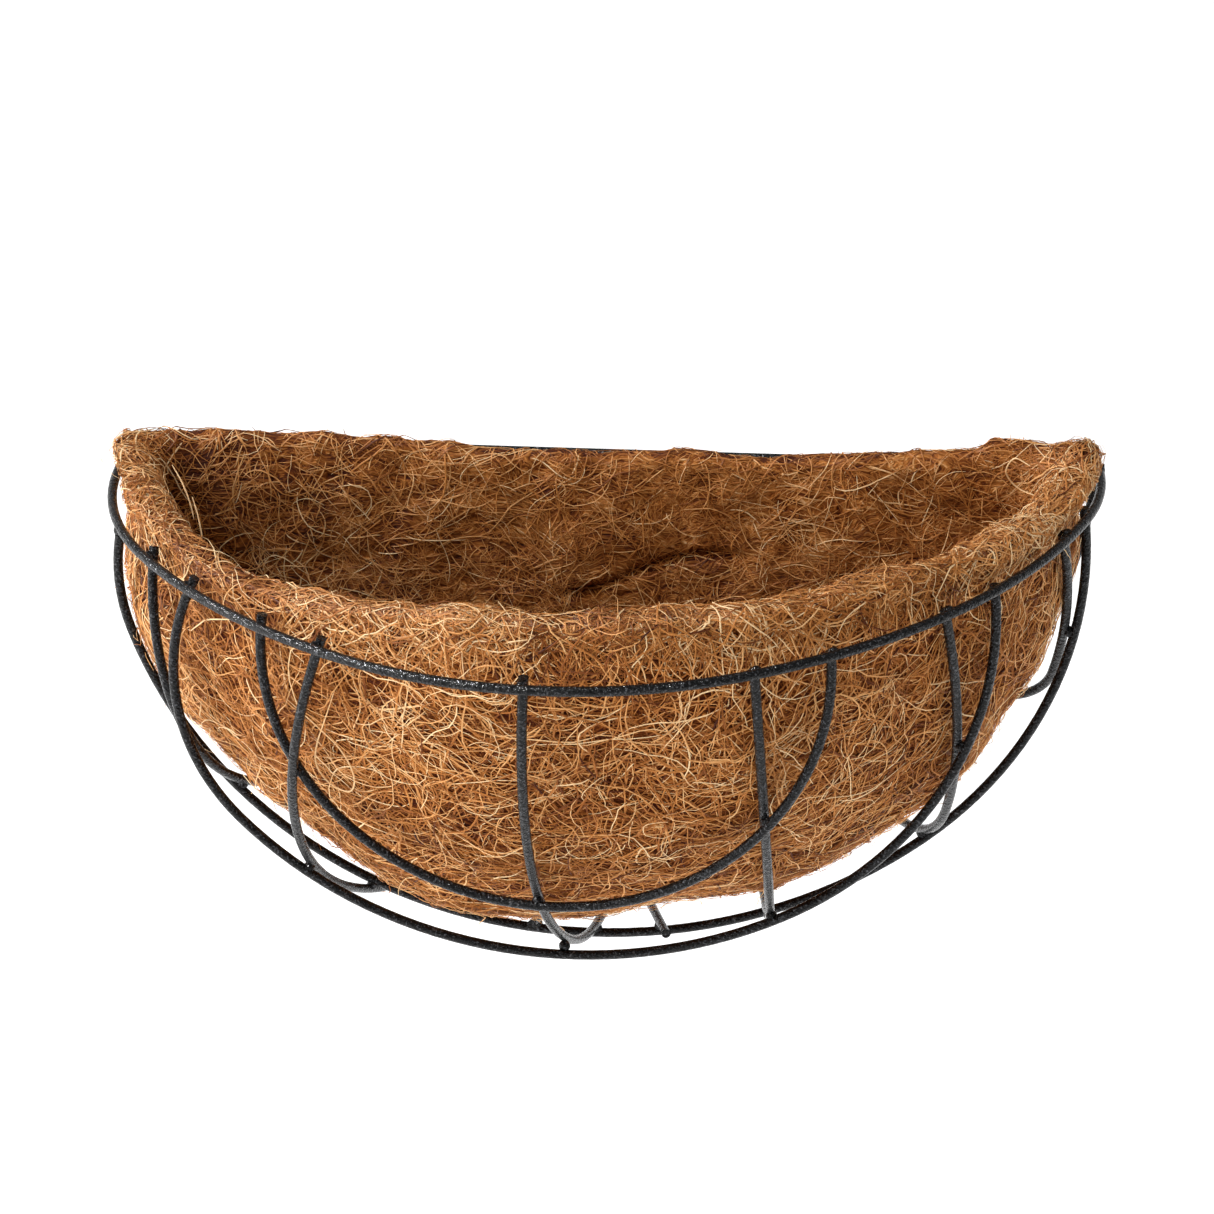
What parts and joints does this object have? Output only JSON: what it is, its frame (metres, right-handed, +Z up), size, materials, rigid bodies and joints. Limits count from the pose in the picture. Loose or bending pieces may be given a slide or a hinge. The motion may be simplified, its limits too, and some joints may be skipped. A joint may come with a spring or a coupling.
{
  "type": "half-round wall hanging basket",
  "caption": "Half-round hanging basket for a wall: a welded frame of round steel wire that hangs by its straight back bar and holds a loose moulded coir liner for planting.",
  "frame": {"origin": "rear side of the back bar, where it lies on the wall, straight above the lowest point of the wall hoop and within 5 mm of the middle of the bar; the wall is the plane y = 0", "axes": "+X to the right along the back bar as seen from the front, +Y into the wall, +Z up"},
  "size_m": [0.3929, 0.2055, 0.2244],
  "materials": {
    "hammered_black": "black hammered powder coat, half gloss, speckled",
    "coir": "matted coconut fibre, matte"
  },
  "bodies": {
    "frame": {"rim_hoop": "hammered_black", "back_bar": "hammered_black", "wall_hoop": "hammered_black", "front_hoop": "hammered_black", "middle_hoop": "hammered_black", "rear_hoop": "hammered_black", "rib_1": "hammered_black", "rib_2": "hammered_black", "rib_3": "hammered_black", "rib_4": "hammered_black", "rib_5": "hammered_black", "rib_6": "hammered_black", "left_strut": "hammered_black", "right_strut": "hammered_black", "rim_welds": "hammered_black", "front_hoop_welds": "hammered_black", "middle_hoop_welds": "hammered_black", "rear_hoop_welds": "hammered_black", "wall_hoop_welds": "hammered_black", "bar_welds": "hammered_black", "bar_end_welds": "hammered_black"},
    "liner": {"coir_liner": "coir"}
  },
  "joints": [
    {"name": "liner_lift", "type": "slide", "parent": "frame", "child": "liner", "axis": [0, 0, 1], "range_m": [0, 0.22]}
  ]
}
